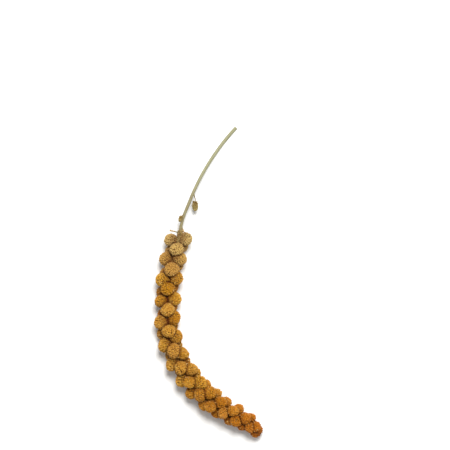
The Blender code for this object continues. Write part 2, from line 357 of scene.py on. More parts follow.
# The woolly axis and the imported chaff inside the head: dry and soft; its dark brown is partly painted
# shade.
# It gives the eye the deep brown shade between the clusters.
chaffLook = {
    "pattern": ("TexNoise", "Fac", {"Detail": 4.0}),
    "millimetres": 0.7,
    "colours": [(0.35, "#6C4418"), (0.7, "#9A6C2C")],
    "roughness": 0.9,
    "relief": (0.0002, 0.8),  # its depth and its strength
}

# Pith, the soft white inside of the stem at its cut: spongy, with small holes.
# It gives the eye a pale disc inside a darker ring.
pithLook = {
    "pattern": ("TexVoronoi", "Distance", {}),
    "millimetres": 0.18,
    "colours": [(0.1, "#9C8F66"), (0.45, "#E4DCBE")],
    "roughness": 0.95,
    "relief": (0.00005, 0.6),
}

# Glumes and bristles, the papery scales and stiff hairs round each grain: thin, dry, half clear.
# They give the eye pale flecks and fine light lines among the grain.
paperLook = {
    "pattern": ("TexNoise", "Fac", {"Detail": 3.0}),
    "millimetres": 0.3,
    "colours": [(0.3, "#AE8038"), (0.65, "#DDBB78")],
    "roughness": 0.6,
    "relief": None,
}


# one pattern gives such a material its colour, and its relief if it has one
def makeDry(name, look):
    material, tree = newMaterial(name)
    kind, output, inputs = look["pattern"]
    coords = addNode(tree, "TexCoord", "Object")
    inputs = {"Vector": coords, "Scale": 1000 / look["millimetres"], **inputs}
    pattern = addNode(tree, kind, output, inputs)
    colour = addNode(tree, "ValToRGB", "Color", {"Fac": pattern}, look["colours"])
    inputs = {"Base Color": colour, "Roughness": look["roughness"]}
    if look["relief"]:
        depth, strength = look["relief"]
        bump = {"Height": pattern, "Distance": depth, "Strength": strength}
        inputs["Normal"] = addNode(tree, "Bump", "Normal", bump)
    finishMaterial(tree, inputs)
    return material


husk = makeHusk("foxtail_millet_husk", huskLook)
straw = makeStraw("dry_straw", strawLook)
chaff = makeDry("packed_chaff", chaffLook)
pith = makeDry("stem_pith", pithLook)
paper = makeDry("papery_glume", paperLook)
print("materials made")


# puts arrays into a mesh: points (n, 3), a list of face arrays (m, sides), point values by name,
# and one UV map as a list of (m, sides, 2) arrays in step with the faces
def meshPiece(name, points, faceSets, material, values=None, uvName=None, uvSets=None, smooth=True):
    mesh = bpy.data.meshes.new(name)
    loops = np.concatenate([faces.reshape(-1) for faces in faceSets]).astype(np.int32)
    lengths = np.concatenate([np.full(len(faces), faces.shape[1]) for faces in faceSets])
    starts = np.concatenate([[0], np.cumsum(lengths)[:-1]]).astype(np.int32)
    mesh.vertices.add(len(points))
    mesh.vertices.foreach_set("co", np.ascontiguousarray(points, np.float32).reshape(-1))
    mesh.loops.add(len(loops))
    mesh.loops.foreach_set("vertex_index", loops)
    mesh.polygons.add(len(starts))
    mesh.polygons.foreach_set("loop_start", starts)
    mesh.polygons.foreach_set("use_smooth", np.full(len(starts), smooth))
    if uvSets is not None:
        layer = mesh.uv_layers.new(name=uvName)
        flat = np.concatenate([uv.reshape(-1) for uv in uvSets]).astype(np.float32)
        layer.data.foreach_set("uv", flat)
    for key, numbers in (values or {}).items():
        layer = mesh.attributes.new(key, "FLOAT", "POINT")
        layer.data.foreach_set("value", np.ascontiguousarray(numbers, np.float32).reshape(-1))
    mesh.update(calc_edges=True)
    mesh.validate()
    mesh.materials.append(material)
    piece = bpy.data.objects.new(name, mesh)
    bpy.context.scene.collection.objects.link(piece)
    return piece


# gives a piece its body and hides the node that it replaces
def settle(piece, node):
    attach(piece, "root")
    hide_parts(node)
    print(piece.name, len(piece.data.polygons), "faces")


# two directions square to each axis and to +Z, or to +X where the axis is nearly upright, turned
# about the axis by a roll
def squareTo(axis, roll):
    helper = np.where(np.abs(axis[:, 2:3]) < 0.9, [[0.0, 0.0, 1.0]], [[1.0, 0.0, 0.0]])
    first = unit(np.cross(axis, helper))
    second = np.cross(axis, first)
    turn = roll[:, None]
    return first * np.cos(turn) + second * np.sin(turn), second * np.cos(turn) - first * np.sin(turn)


# faces of a closed tube: rings of columns, then one low and one high pole, all facing out
def tubeFaces(rings, columns):
    column = np.arange(columns)
    following = (column + 1) % columns
    row = (np.arange(rings - 1) * columns)[:, None]
    above = row + columns
    quads = np.stack([row + column, row + following, above + following, above + column], axis=-1)
    low = np.full(columns, rings * columns)
    last = (rings - 1) * columns
    lowFan = np.stack([low, following, column], axis=-1)
    highFan = np.stack([low + 1, last + column, last + following], axis=-1)
    return quads.reshape(-1, 4), np.concatenate([lowFan, highFan])


# the map of those faces: across it runs from 0 to the girth, and along has one number per ring
def tubeMap(girth, along, lowEnd, highEnd, columns):
    left = np.arange(columns) * girth / columns
    right = left + girth / columns
    quadMap = np.empty((len(along) - 1, columns, 4, 2))
    quadMap[..., 0] = np.stack([left, right, right, left], axis=-1)
    quadMap[..., 1] = np.stack([along[:-1], along[:-1], along[1:], along[1:]], axis=-1)[:, None, :]
    fanMap = np.empty((2, columns, 3, 2))
    fanMap[0, :, :, 0] = np.stack([(left + right) / 2, right, left], axis=-1)
    fanMap[1, :, :, 0] = np.stack([(left + right) / 2, left, right], axis=-1)
    fanMap[0, :, :, 1] = [lowEnd, along[0], along[0]]
    fanMap[1, :, :, 1] = [highEnd, along[-1], along[-1]]
    return quadMap.reshape(-1, 4, 2), fanMap.reshape(-1, 3, 2)


# a closed form turned about z: rings of (radius, height) pairs between two poles
def turnedForm(profile, columns, lowPole, highPole):
    radius, height = np.array(profile).T
    angle = np.arange(columns) / columns * 2 * math.pi
    x = radius[:, None] * np.cos(angle)
    y = radius[:, None] * np.sin(angle)
    z = np.repeat(height[:, None], columns, axis=1)
    ringPoints = np.stack([x, y, z], axis=-1).reshape(-1, 3)
    points = np.concatenate([ringPoints, [[0, 0, lowPole], [0, 0, highPole]]])
    share = (height - lowPole) / (highPole - lowPole)
    return points, tubeFaces(len(radius), columns), tubeMap(1.0, share, 0.0, 1.0, columns)


# a ball as such a form: ring k of n is k half turns over n + 1 round from the low pole
def ballForm(columns, rings):
    angle = np.arange(1, rings + 1) / (rings + 1) * math.pi
    profile = np.stack([np.sin(angle), -np.cos(angle)], axis=-1)
    return turnedForm(profile, columns, -1.0, 1.0)


# stands one form on many feet: its z goes along each axis, and each row of sizes scales it
def standForms(points, foot, axis, roll, sizes):
    across, forward = squareTo(axis, roll)
    local = points[None, :, :] * sizes[:, None, :]
    return (
        foot[:, None, :]
        + local[:, :, 0:1] * across[:, None, :]
        + local[:, :, 1:2] * forward[:, None, :]
        + local[:, :, 2:3] * axis[:, None, :]
    )


leastHeight = 0.00002  # of any point of a form above the surface


# lifts each form by what its lowest point lacks of the least height
def liftForms(placed):
    lowest = placed[:, :, 2].min(axis=1)
    placed[:, :, 2] += np.maximum(leastHeight - lowest, 0)[:, None]
    return placed


# one mesh from placed copies of a form, with one number per copy for each named value
def repeatPiece(name, placed, form, material, values=None):
    _, faces, maps = form
    number, pointsEach = placed.shape[:2]
    shift = (np.arange(number) * pointsEach)[:, None, None]
    faceSets = [(each[None, :, :] + shift).reshape(-1, each.shape[1]) for each in faces]
    uvSets = [np.tile(each, (number, 1, 1)) for each in maps]
    values = {key: np.repeat(each, pointsEach) for key, each in (values or {}).items()}
    return meshPiece(name, placed.reshape(-1, 3), faceSets, material, values, "grain", uvSets)


# closed tubes along many paths: paths (n, rings, 3), and radii (n, rings, columns), each point its
# radius from the path at its angle; their map holds millimetres, and values are one per ring
def tubePiece(name, paths, radii, material, values=None):
    number, rings, columns = radii.shape
    along = unit(np.gradient(paths, axis=1))
    chord = unit(paths[:, -1] - paths[:, 0])
    helper = np.where(np.abs(chord[:, 2:3]) < 0.8, [[0.0, 0.0, 1.0]], [[1.0, 0.0, 0.0]])
    side = unit(np.cross(along, helper[:, None, :]))
    up = np.cross(side, along)
    angle = (np.arange(columns) / columns * 2 * math.pi)[None, None, :, None]
    spoke = up[:, :, None, :] * np.cos(angle) + side[:, :, None, :] * np.sin(angle)
    points = (paths[:, :, None, :] + spoke * radii[..., None]).reshape(number, -1, 3)
    points = np.concatenate([points, paths[:, :1], paths[:, -1:]], axis=1)
    steps = np.linalg.norm(np.diff(paths, axis=1), axis=2)
    run = np.concatenate([np.zeros((number, 1)), np.cumsum(steps, axis=1)], axis=1) * 1000
    girth = 2 * math.pi * radii.mean(axis=(1, 2)) * 1000
    maps = [tubeMap(girth[i], run[i], run[i, 0], run[i, -1], columns) for i in range(number)]
    shift = (np.arange(number) * points.shape[1])[:, None, None]
    faceSets = [(each[None] + shift).reshape(-1, each.shape[1]) for each in tubeFaces(rings, columns)]
    uvSets = [np.concatenate([each[kind] for each in maps]) for kind in (0, 1)]
    pointValues = {}
    for key, each in (values or {}).items():
        onRings = np.repeat(each, columns, axis=1)
        pointValues[key] = np.concatenate([onRings, each[:, :1], each[:, -1:]], axis=1)
    return meshPiece(name, points.reshape(-1, 3), faceSets, material, pointValues, "run", uvSets)


# Grain, one form repeated by the thousand: a plump oval husk with a short beak at its outer end.
# Its radius follows the rings below, its back (+Y) is fuller than its front, and z runs 0 to 1.
grainLook = {
    "length": 0.0024,
    "width": 0.00180,
    "thickness": 0.00155,
    "columns": 9,
    "rings": [(0.30, 0.12), (0.50, 0.44), (0.42, 0.74), (0.19, 0.92)],  # radius and height
    "backFullness": 0.18,
    "spacing": 0.00148,  # between neighbours on a cluster
    "cell": 0.866,  # one grain's share of the surface, in squares of the spacing
    "fewest": 6,
    "cover": 0.84,  # how far round a cluster the grain goes, 1 being the whole ball
    "shell": 0.405,  # of a cluster's width, from its middle to the middle of its grain
    "stray": 0.045,  # from the even places, in shares of the radius
    "jitterOut": 0.00008,
    "swells": (2.2, 2.9, 3.7, 4.6),  # waves over a cluster, each in radians to its radius
    "lumps": 0.08,  # how far a cluster swells or dips, in shares of its radius
    "flattening": 0.085,  # how much wider one way than the other a cluster may be
    "leftOut": 0.93,  # grain nearer to another cluster's middle than so many of its radii is left out
    "creviceFrom": 1.45,  # and from so many on it sinks, where the two clusters meet
    "creviceOver": 0.45,
    "crevice": 0.0007,  # depth of the crevice that this leaves
    "creviceShade": 0.55,  # and the darkness of the painted shade laid in it
    "rimShade": 0.35,  # painted shade on grain at a cluster's rim and root, its darkness
    "rimFrom": 0.55,  # height on the cluster where it starts, in shares of the radius
    "rimOver": 1.2,
    "innerShade": 0.32,  # painted shade on grain by the axis, its darkness
    "innerFrom": 0.78,  # share of the outline's radius where it starts
    "innerOver": 0.45,
    "toneJitter": 0.13,  # from grain to grain
    "clusterTone": 0.10,  # from cluster to cluster
    "ripeness": 0.28,
    "paintedLightOnTop": 0.22,  # painted light: more of it on the head's upper side, where the lamp falls
    "ripenessJitter": 0.46,
    "sizeJitter": 0.12,
    "lean": 0.30,  # of a grain towards its cluster's tip
    "tilt": 0.22,  # random, each way
    "seed": 11,
}

goldenTurn = math.pi * (3 - math.sqrt(5))


# even points on the ball round each cluster's middle, as directions in the cluster's own axes:
# point k of n lies at height 1 - 2 * cover * (k + 1/2) / n and at k golden turns
def ballDirections(counts, cover, random):
    owner = np.repeat(np.arange(len(counts)), counts)
    first = np.repeat(np.concatenate([[0], np.cumsum(counts)[:-1]]), counts)
    place = np.arange(len(owner)) - first
    height = 1 - 2 * cover * (place + 0.5) / counts[owner]
    angle = place * goldenTurn + random.uniform(0, 2 * math.pi, len(counts))[owner]
    out = np.sqrt(np.maximum(1 - height**2, 0))
    return owner, np.stack([out * np.cos(angle), out * np.sin(angle), height], axis=-1)


# slow swells over each cluster: half the sum of its waves, each with its own random direction
def swells(direction, owner, number, random):
    total = np.zeros(len(direction))
    for radians in grainLook["swells"]:
        wave = unit(random.normal(0, 1, (number, 3)))[owner] * radians
        total += np.sin(np.sum(direction * wave, axis=1) + random.uniform(0, 2 * math.pi, number)[owner])
    return total / 2


# how near each point is to another cluster: the least of its distances from their middles, each in
# that cluster's own radii, so below 1 it is inside that ball
def depthInOthers(points, owner, balls, shell):
    nearest = np.full(len(points), np.inf)
    for i in range(len(balls["width"])):
        offset = points - balls["middle"][i]
        upward = offset @ balls["outward"][i]
        sideways = np.linalg.norm(offset - upward[:, None] * balls["outward"][i], axis=1)
        radius = shell * balls["width"][i]
        share = np.sqrt((sideways / radius) ** 2 + (upward / (radius * balls["stretch"][i])) ** 2)
        nearest = np.where(owner == i, nearest, np.minimum(nearest, share))
    return nearest


# every grain of these clusters: even points on a ball, strayed, stretched, swelled and turned to the
# cluster's own direction, with a foot, an axis, sizes, and values for its colour
def growGrain(balls, seed, spacing, scale=1.0):
    look = grainLook
    random = np.random.default_rng(seed)
    radius = look["shell"] * balls["width"]
    area = 4 * math.pi * radius**2 * (1 + balls["stretch"] * (1 + balls["tail"])) / 3
    counts = np.maximum(area * look["cover"] / (look["cell"] * spacing**2), look["fewest"]).astype(int)
    owner, direction = ballDirections(counts, look["cover"], random)
    direction = unit(direction + random.normal(0, look["stray"], direction.shape))
    across, forward = squareTo(balls["outward"], np.zeros(len(radius)))
    basis = np.stack([across, forward, balls["outward"]], axis=1)[owner]
    stretch = np.ones((len(owner), 3))
    wider = 1 + look["flattening"] * random.uniform(-1, 1, len(radius))[owner]
    stretch[:, 0], stretch[:, 1] = wider, 1 / wider
    tail = np.where(direction[:, 2] < 0, balls["tail"][owner], 1)
    stretch[:, 2] = balls["stretch"][owner] * tail
    lump = 1 + look["lumps"] * swells(direction, owner, len(radius), random)
    offset = np.einsum("nk,nkj->nj", direction * stretch, basis) * (radius[owner] * lump)[:, None]
    normal = unit(np.einsum("nk,nkj->nj", direction / stretch, basis))
    number = len(owner)
    middle = balls["middle"][owner] + offset + normal * random.normal(0, look["jitterOut"], (number, 1))
    sunk = depthInOthers(middle, owner, balls, look["shell"])
    # where two clusters meet, their grain sinks in and leaves a crevice between them
    near = np.clip((look["creviceFrom"] - sunk) / look["creviceOver"], 0, 1)
    middle = middle - normal * look["crevice"] * near[:, None]
    tilt = look["tilt"] * random.uniform(-1, 1, (number, 3))
    axis = unit(normal + look["lean"] * balls["outward"][owner] + tilt)
    size = scale * (1 + look["sizeJitter"] * random.uniform(-1, 1, (number, 1)))
    sizes = size * np.array([[look["width"], look["thickness"], look["length"]]])
    # painted shade: grain on a cluster's rim and root, deeper in the head than grain on its outer cap, is
    # darkened
    rimPaintedShade = np.clip((look["rimFrom"] - direction[:, 2]) / look["rimOver"], 0, 1)
    clusterTone = look["clusterTone"] * random.normal(0, 1, len(radius))
    # painted light: clusters on the head's upper side, facing the lamp, are made more tan
    ripeness = look["ripeness"] + look["paintedLightOnTop"] * balls["outward"][:, 2]
    ripeness = ripeness + look["ripenessJitter"] * random.uniform(0, 1, len(radius))
    rows = {
        "owner": owner,
        "foot": middle - axis * sizes[:, 2:3] * 0.5,
        "axis": axis,
        "normal": normal,
        "roll": random.uniform(0, 2 * math.pi, number),
        "sizes": sizes,
        "tone": np.clip(0.5 + look["toneJitter"] * random.normal(0, 1, number) + clusterTone[owner], 0, 1),
        "ripeness": ripeness[owner],
        # the depth value is painted shade: darker in the crevices and on each cluster's rim and root
        "depth": np.clip(look["creviceShade"] * near + look["rimShade"] * rimPaintedShade, 0, 1),
        "along": headShare(balls["at"])[owner],
    }
    kept = sunk > look["leftOut"]
    return {key: value[kept] for key, value in rows.items()}


# the rings turned about z, then fuller behind and flatter in front by the same share
def grainForm():
    points, faces, maps = turnedForm(grainLook["rings"], grainLook["columns"], 0.0, 1.0)
    points[:, 1] *= 1 + grainLook["backFullness"] * np.sign(points[:, 1])
    return points, faces, maps


oneGrain = grainForm()


# one piece of grain: the form stood on every foot, with its values
def grainPiece(name, rows, node):
    placed = standForms(oneGrain[0], rows["foot"], rows["axis"], rows["roll"], rows["sizes"])
    values = {key: rows[key] for key in ("tone", "ripeness", "depth", "along")}
    piece = repeatPiece(name, liftForms(placed), oneGrain, husk, values)
    settle(piece, node)


headGrain = growGrain(clusters, grainLook["seed"], grainLook["spacing"])


# painted shade: from a share of the outline's radius inwards, grain grows evenly darker
# towards the axis
def shadeInnerGrain():
    at = clusters["at"][headGrain["owner"]]
    offset = headGrain["foot"] - pointsAt(at)
    along = directionsAt(at)[0]
    level = np.sum(offset * along, axis=1, keepdims=True)
    reach = np.linalg.norm(offset - along * level, axis=1) / outlineRadius(at)
    inner = np.clip((grainLook["innerFrom"] - reach) / grainLook["innerOver"], 0, 1)
    # the cluster that closes the tip stands on the axis, and none of it gets this painted shade
    inner[headGrain["owner"] == len(clusters["at"]) - 1] = 0
    headGrain["depth"] = np.clip(headGrain["depth"] + grainLook["innerShade"] * inner, 0, 1)


shadeInnerGrain()
# the head's grain comes in four pieces, each a quarter of it
quarter = np.argsort(np.argsort(headGrain["along"], kind="stable")) * 4 // len(headGrain["along"])
for i, name in enumerate(["grain_upper", "grain_middle", "grain_lower", "grain_tip"]):
    rows = {key: value[quarter == i] for key, value in headGrain.items()}
    grainPiece(name, rows, "grain_head")

# Stunted grain crowds round the stem's end, small and brown, pointing down along it
collarLook = {
    "number": 130,
    "starts": 0.0090,  # beyond the stem's end
    "over": 0.0125,
    "crowding": 1.2,  # above 1 it stands closer where it starts
    "outTo": 1.15,  # how far out it stands where it starts, in radii of the stem
    "outLess": 0.3,  # and how much less at its other end
    "scale": 0.80,
    "sizes": (0.75, 1.15),
    "lean": 0.8,
    "tilt": 0.2,
    "tone": 0.3,
    "toneJitter": 0.12,
    # painted shade: each grain is darkened towards the crevice colour by a random share in this range
    "depth": (0.1, 0.6),
    "along": -0.1,
    "seed": 17,
}


# grain k of n stands at k golden turns round the line, its distance falling with a power of k / n
def makeCollar():
    look = collarLook
    random = np.random.default_rng(look["seed"])
    number = look["number"]
    share = (np.arange(number) + random.uniform(0, 1, number)) / number
    distance = headLine["stemLength"] + look["starts"] - look["over"] * share ** look["crowding"]
    along, side, up = directionsAt(distance)
    angle = (np.arange(number) * goldenTurn)[:, None]
    normal = side * np.cos(angle) + up * np.sin(angle)
    axis = unit(normal + look["lean"] * along + look["tilt"] * random.uniform(-1, 1, (number, 3)))
    size = look["scale"] * random.uniform(*look["sizes"], (number, 1))
    sizes = size * np.array([[grainLook["width"], grainLook["thickness"], grainLook["length"]]])
    out = (look["outTo"] - look["outLess"] * share)[:, None]
    rows = {
        "foot": pointsAt(distance) + normal * headLine["stemRadiusHead"] * out,
        "axis": axis,
        "roll": random.uniform(0, 2 * math.pi, number),
        "sizes": sizes,
        "tone": np.clip(look["tone"] + look["toneJitter"] * random.normal(0, 1, number), 0, 1),
        "ripeness": random.uniform(0, 1, number),
        # a random share of painted shade
        "depth": random.uniform(*look["depth"], number),
        "along": np.full(number, look["along"]),
    }
    grainPiece("collar_grain", rows, "grain_head")


makeCollar()

# What holds the grain: a ball of packed chaff in each cluster, on its own short branch from the axis
chaffBalls = {
    "share": 0.378,  # of a cluster's width, from its middle to the chaff's surface
    "columns": 14,
    "rings": 8,
}


# a ball in each cluster, as long for its width as the cluster is, and drawn out below by its tail
def chaffPiece(name, balls, share, node):
    form = ballForm(chaffBalls["columns"], chaffBalls["rings"])
    radius = share * balls["width"]
    sizes = np.stack([radius, radius, radius * balls["stretch"]], axis=-1)
    points = form[0].copy()
    points[:, 2] *= np.where(points[:, 2] < 0, balls["tail"][0], 1)
    placed = standForms(points, balls["middle"], balls["outward"], np.zeros(len(radius)), sizes)
    piece = repeatPiece(name, liftForms(placed), form, chaff)
    settle(piece, node)


chaffPiece("chaff_balls", clusters, chaffBalls["share"], "grain_head")

# The axis of the head: the stem's own straw, thinning to the tip, in a coat of chaff
axisLook = {
    "step": 0.0015,
    "overlap": 0.0006,  # with the stem
    "radiusShare": 1.25,  # of the stem's radius, where it starts
    "radiusEnd": 0.0005,
    "brown": 0.75,
    "brownGrows": 4,  # over the head's length
    "coat": 0.0024,
    "coatStarts": 0.005,  # below the stem
    "coatStartShare": 0.3,  # of its full thickness
    "coatGrowsOver": 0.012,
    "coatLeastShare": 0.4,  # where the head tapers
    "roughness": 0.16,  # share of the coat
    "columns": 18,
    "seed": 23,
}


# a tube along the line that thins evenly, and round it a second one whose radius grows from its
# start, follows the head's outline, and is rough by a random share at each point
def makeAxis():
    look = axisLook
    start = headLine["stemLength"]
    end = start + headLine["headLength"] - clusterRule["endWidth"] / 2
    distance = np.arange(start - look["overlap"], end, look["step"])
    share = (distance - start) / (end - start)
    radius = headLine["stemRadiusHead"] * look["radiusShare"]
    radius = radius + (look["radiusEnd"] - radius) * share
    radii = np.repeat(radius[:, None], look["columns"], axis=1)[None]
    brown = np.clip(look["brown"] + share * look["brownGrows"], 0, 1)[None]
    piece = tubePiece("head_axis", pointsAt(distance)[None], radii, straw, {"brown": brown})
    settle(piece, "grain_head")
    distance = np.arange(start + look["coatStarts"], end, look["step"])
    grown = np.clip((distance - distance[0]) / look["coatGrowsOver"], 0, 1)
    grown = look["coatStartShare"] + (1 - look["coatStartShare"]) * grown
    fullness = outlineRadius(distance) / headLine["headRadius"]
    radius = look["coat"] * grown * np.maximum(fullness, look["coatLeastShare"])
    random = np.random.default_rng(look["seed"])
    rough = 1 + look["roughness"] * random.uniform(-1, 1, (len(distance), look["columns"]))
    piece = tubePiece("axis_chaff", pointsAt(distance)[None], (radius[:, None] * rough)[None], chaff)
    settle(piece, "grain_head")


makeAxis()

# Each cluster's branch: it leaves the axis a little above the cluster and bends out into its middle
clusterBranch = {
    "leavesBefore": 0.0040,
    "bend": 0.5,  # share of its length that points along the cluster
    "radius": 0.0008,
    "brown": 0.9,
    "points": 6,
    "columns": 8,
}


# one bent branch per row: foot, bend and top weigh in as (1 - s) squared, 2 s (1 - s) and s squared
def bentBranches(name, foot, bend, top, radius, node):
    look = clusterBranch
    share = np.linspace(0, 1, look["points"])[None, :, None]
    paths = foot[:, None] * (1 - share) ** 2 + bend[:, None] * 2 * share * (1 - share)
    paths = paths + top[:, None] * share**2
    radii = np.full((len(foot), look["points"], look["columns"]), radius)
    brown = np.full((len(foot), look["points"]), look["brown"])
    piece = tubePiece(name, paths, radii, straw, {"brown": brown})
    settle(piece, node)


# from the line to each cluster's middle, bent at a point straight behind that
def makeClusterBranches():
    look = clusterBranch
    foot = pointsAt(np.maximum(clusters["at"] - look["leavesBefore"], headLine["stemLength"]))
    top = clusters["middle"]
    bend = top - clusters["outward"] * np.linalg.norm(top - foot, axis=1)[:, None] * look["bend"]
    bentBranches("cluster_branches", foot, bend, top, look["radius"], "grain_head")


makeClusterBranches()

# The stem: a tube with shallow ribs, a little out of round, its radius waving slowly along it
stemLook = {
    "columns": 40,
    "step": 0.0006,
    "edge": [0.0, 0.00004, 0.00012, 0.0003],  # rings of the narrow bevel at the cut
    "edgeShares": [0.88, 0.96],  # radius of its first two
    "ribs": 13,
    "ribHeight": 0.00004,
    "slowRibs": 5,  # these put it out of round
    "slowHeight": 0.5,  # in heights of the ribs
    "slowDrift": -1.7,  # in drifts of the ribs
    "drift": 0.6,  # of the ribs round the stem, each way, in radians
    "driftWaves": 9,  # radians over its length
    "wave": 0.03,  # share of its radius
    "waves": (3, 5, 8, 13),  # how many of each along its length
    "olive": 0.38,  # share of brown in the half towards the head
    "oliveFrom": 0.055,  # from the cut end
    "oliveOver": 0.020,
    "brown": 0.55,  # and so much more next to the head
    "brownOver": 0.006,
    "swell": 0.0003,  # where it meets the head
    "swellOver": 0.006,
    "seed": 5,
}


# radius: even between its two ends, times slow random waves, plus a bell-shaped swell at the head,
# plus two sets of ribs, each a cosine of the angle that drifts round as it goes
def makeStem():
    look = stemLook
    length = headLine["stemLength"]
    steps = np.arange(look["step"], length + look["step"] / 2, look["step"])
    distance = np.concatenate([look["edge"], steps])
    random = np.random.default_rng(look["seed"])
    share = distance / length
    radius = headLine["stemRadiusCut"]
    radius = radius + (headLine["stemRadiusHead"] - radius) * share
    phases = random.uniform(0, 2 * math.pi, len(look["waves"]))
    waves = sum(np.sin(share * k * 2 * math.pi + phase) / k for k, phase in zip(look["waves"], phases))
    radius = radius * (1 + look["wave"] * waves / 2)
    radius = radius + look["swell"] * np.exp(-(((distance - length) / look["swellOver"]) ** 2))
    radius[:2] = radius[2] * np.array(look["edgeShares"])
    angle = np.arange(look["columns"]) / look["columns"] * 2 * math.pi
    drift = look["drift"] * np.sin(share * look["driftWaves"])[:, None]
    ribs = np.cos(look["ribs"] * angle + drift)
    ribs = ribs + look["slowHeight"] * np.cos(look["slowRibs"] * angle + look["slowDrift"] * drift)
    radii = radius[:, None] + look["ribHeight"] * ribs
    brown = look["olive"] * np.clip((distance - look["oliveFrom"]) / look["oliveOver"], 0, 1)
    brown = brown + look["brown"] * np.clip(1 - (length - distance) / look["brownOver"], 0, 1)
    piece = tubePiece("stem_straw", pointsAt(distance)[None], radii[None], straw, {"brown": brown[None]})
    settle(piece, "stem")


makeStem()

# The pith shows as a disc in the stem's cut, a touch ahead of the straw's flat end
pithDisc = {
    "radiusShare": 0.74,
    "thickness": 0.0002,
    "ahead": 0.00003,
    "profile": [(0.6, 0.0), (1.0, 0.1), (1.0, 0.7), (0.93, 0.95), (0.5, 1.0)],  # radius and height
    "middleHeight": 0.98,
    "columns": 24,
}


# the profile turned about the stem's own line
def makePithDisc():
    look = pithDisc
    radius = headLine["stemRadiusCut"] * look["radiusShare"]
    axis = -directionsAt(headLine["step"])[0]
    form = turnedForm(look["profile"], look["columns"], 0.0, look["middleHeight"])
    foot = pointsAt(0.0) + axis * (look["ahead"] - look["thickness"])
    sizes = np.array([[radius, radius, look["thickness"]]])
    placed = standForms(form[0], foot, axis, np.zeros(1), sizes)
    piece = repeatPiece("cut_pith", placed, form, pith)
    settle(piece, "stem")


makePithDisc()

# Side branches of the stem: each leaves the line at one distance and ends beside another, so far
# to the right of it in the picture and so far up, bowed upward between the two
stemBranches = {
    "radiusStem": 0.00054,
    "radiusEnd": 0.00036,
    "endShare": 0.7,  # of that radius, at the very end
    "swell": 0.0005,  # where each leaves the stem
    "swellOver": 0.0023,
    "brown": 0.45,
    "brownGrows": 0.4,  # towards the end
    "columns": 12,
    "points": 20,
    "stalk": (0.0710, 0.0755, 0.0040, -0.0012, 0.0003),
    "bareTwig": (0.1090, 0.1086, -0.0092, 0.0028, 0.0008),
    "topBranch": (0.1030, 0.1072, 0.0030, 0.0010, 0.0002),
}


# the line's point at the second distance, moved right and up
def branchEnd(name):
    _, ends, right, up, _ = stemBranches[name]
    return pointsAt(ends)[0] - directionsAt(ends)[1][0] * right + np.array([0, 0, up])


# straight from its foot to its end, raised by four bows times s (1 - s)
def branchPath(name, share):
    start, bow = pointsAt(stemBranches[name][0])[0], stemBranches[name][4]
    path = start + (branchEnd(name) - start) * share[:, None]
    path[:, 2] += 4 * bow * share * (1 - share)
    return path


# three tubes that thin evenly, each with a bell-shaped swell at its foot
def makeStemBranches():
    look = stemBranches
    share = np.linspace(0, 1, look["points"])
    paths = [branchPath(name, share) for name in ("stalk", "bareTwig", "topBranch")]
    lengths = [np.linalg.norm(path[-1] - path[0]) for path in paths]
    distance = np.array(lengths)[:, None] * share
    radius = look["radiusStem"] + (look["radiusEnd"] - look["radiusStem"]) * share
    radius = radius + look["swell"] * np.exp(-((distance / look["swellOver"]) ** 2))
    radius[:, -1] *= look["endShare"]
    radii = np.repeat(radius[:, :, None], look["columns"], axis=2)
    brown = np.tile(look["brown"] + look["brownGrows"] * share, (3, 1))
    piece = tubePiece("stem_branches", np.array(paths), radii, straw, {"brown": brown})
    settle(piece, "stem")


makeStemBranches()

# The two small clusters up the stem: each a small egg of grain on its root, along its own direction
smallClusters = {
    "stalked_cluster": {"width": 0.0050, "length": 0.0104},
    "seated_cluster": {"width": 0.0030, "length": 0.0070, "at": 0.0927, "left": 0.0019, "up": 0.0026},
    "rootDepth": 0.66,  # of the width, from the middle to the root, before lengthening
    "gap": 0.0003,  # from the stalk's end to the root
    "chaffShare": 0.30,
    "neckRadius": 0.0004,
    "tail": 1.42,  # how much further the grain reaches towards the root than towards the tip
    "grainScale": 0.78,
    "spacing": 0.00118,
    "greyness": -0.2,  # in shares of the head's length above its top, where the grain is greyest
    "seed": 31,
}


# its middle stands off its root by the root's depth, stretched as the whole cluster is
def makeSmallCluster(name, foot, root, outward, seed):
    size = smallClusters[name]
    whole = clusterRule["lengthShare"] / 2 + smallClusters["rootDepth"]
    stretch = size["length"] / (size["width"] * whole)
    middle = root + outward * smallClusters["rootDepth"] * size["width"] * stretch
    balls = {
        "at": np.array([headLine["stemLength"]]),
        "width": np.array([size["width"]]),
        "middle": middle[None],
        "outward": outward[None],
        "stretch": np.array([clusterRule["lengthShare"] * stretch]),
        "tail": np.array([smallClusters["tail"]]),
    }
    rows = growGrain(balls, seed, smallClusters["spacing"], smallClusters["grainScale"])
    rows["along"] = rows["along"] + smallClusters["greyness"]
    grainPiece(name + "_grain", rows, name)
    chaffPiece(name + "_chaff", balls, smallClusters["chaffShare"], name)
    bentBranches(name + "_neck", foot[None], root[None], middle[None], smallClusters["neckRadius"], name)


# one goes on beyond the end of its stalk, the other lies beside the stem and along it
def makeSmallClusters():
    tip = branchEnd("stalk")
    leaves, ends = stemBranches["stalk"][:2]
    # halfway between the stalk's own direction and the line's
    outward = unit(unit(tip - pointsAt(leaves)[0]) + directionsAt(ends)[0][0])
    root = tip + outward * smallClusters["gap"]
    foot = tip - outward * smallClusters["gap"]
    makeSmallCluster("stalked_cluster", foot, root, outward, smallClusters["seed"])
    seated = smallClusters["seated_cluster"]
    along, side, _ = directionsAt(seated["at"])
    foot = pointsAt(seated["at"])[0]
    root = foot + side[0] * seated["left"] + np.array([0, 0, seated["up"]])
    makeSmallCluster("seated_cluster", foot, root, along[0], smallClusters["seed"] + 1)


makeSmallClusters()

